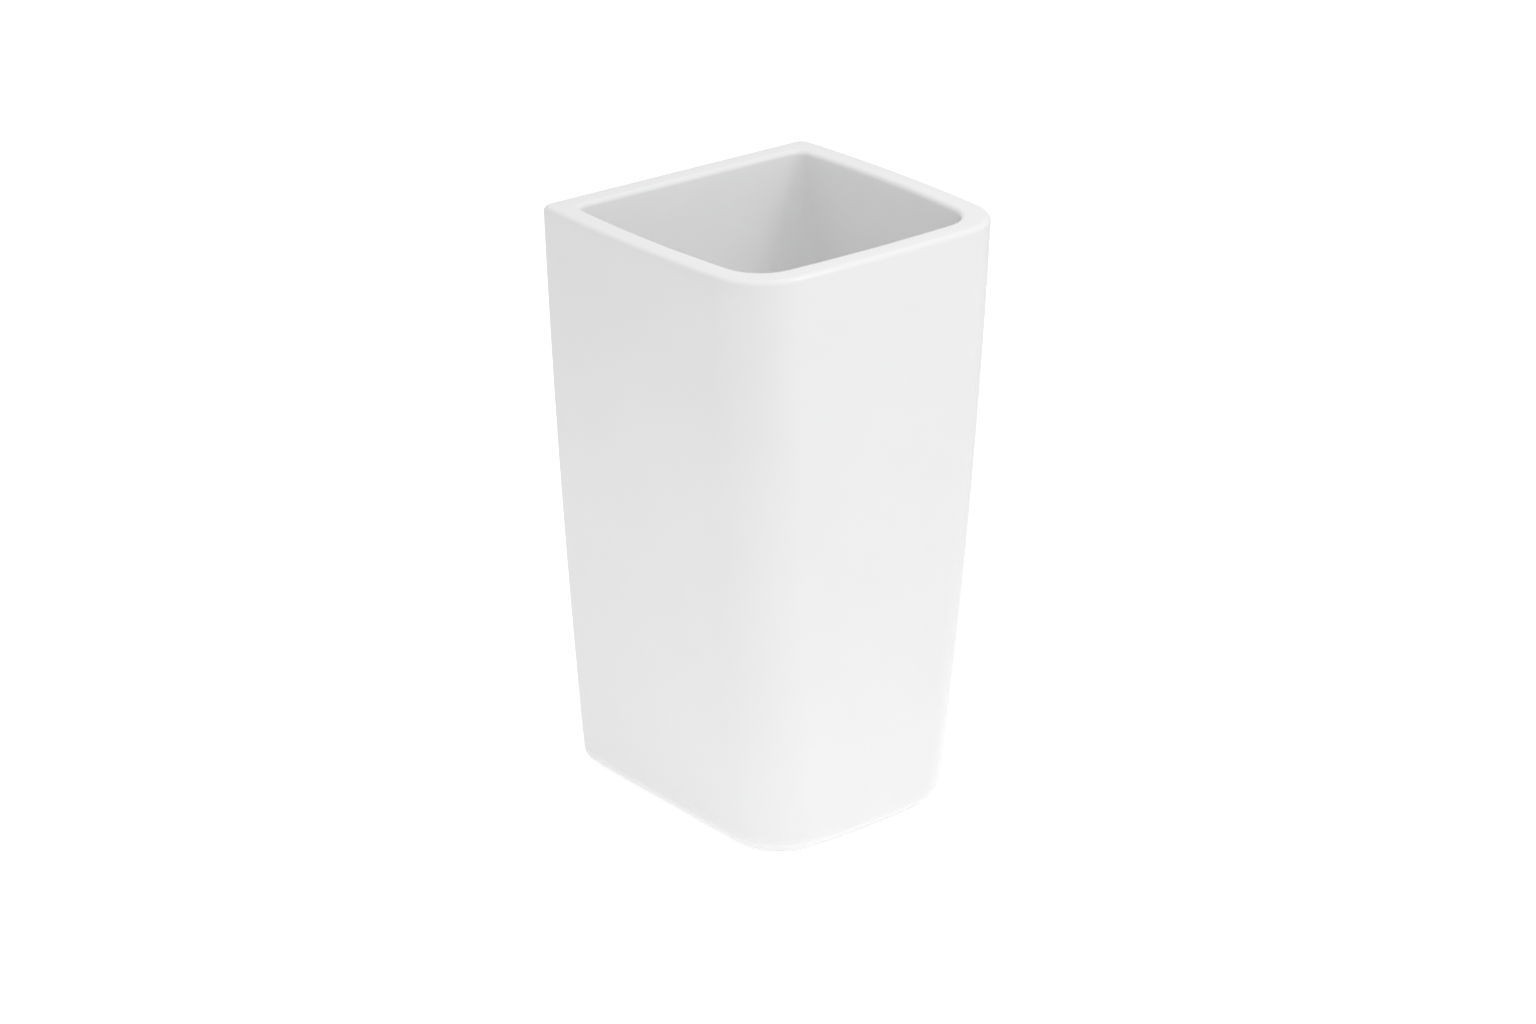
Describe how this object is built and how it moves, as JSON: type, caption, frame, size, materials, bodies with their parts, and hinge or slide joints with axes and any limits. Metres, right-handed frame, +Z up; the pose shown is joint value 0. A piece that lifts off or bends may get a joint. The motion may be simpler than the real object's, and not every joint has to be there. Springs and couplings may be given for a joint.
{
  "type": "column washbasin",
  "caption": "One-piece glazed column washbasin that stands on the floor against a wall, with a deep bowl, a press-to-close waste plug and a bottle trap inside its hollow back.",
  "frame": {"origin": "on the floor, midway between the wall face and the foremost point of the front, on the plane of symmetry", "axes": "+Z up, +Y towards the wall behind the basin, +X to the right of a user who stands in front and faces the wall"},
  "size_m": [0.4702, 0.4469, 0.85],
  "materials": {
    "ware": "white vitreous china under a clear gloss glaze, plain bisque inside the hollow column",
    "chrome": "polished chrome plate on brass",
    "brass": "plain machined brass",
    "steel": "bright stainless spring wire",
    "rubber": "matt black sealing rubber",
    "plastic": "off-white moulded plastic"
  },
  "bodies": {
    "basin": {"basin_body": "ware", "waste_body": "chrome", "flange_seal": "rubber", "under_seal": "rubber", "slip_washer": "plastic", "waste_backnut": "brass", "cartridge_body": "brass", "cartridge_cap": "plastic", "click_spring": "steel", "union_washer": "rubber", "union_nut": "chrome", "inlet_tube": "chrome", "inlet_cone": "rubber", "inlet_slip_nut": "chrome", "trap_body": "chrome", "cup_seal": "rubber", "trap_cup": "chrome", "outlet_cone": "rubber", "outlet_slip_nut": "chrome", "outlet_pipe": "chrome", "wall_rosette": "chrome"},
    "plug": {"plug_cap": "chrome", "plug_seal": "rubber", "plug_stem": "brass"}
  },
  "joints": [
    {"name": "plug_press", "type": "slide", "parent": "basin", "child": "plug", "axis": [0, 0, 1], "range_m": [-0.008, 0], "stiffness_N_per_m": 400, "springref_m": 0.012, "deforming": ["click_spring"]}
  ]
}
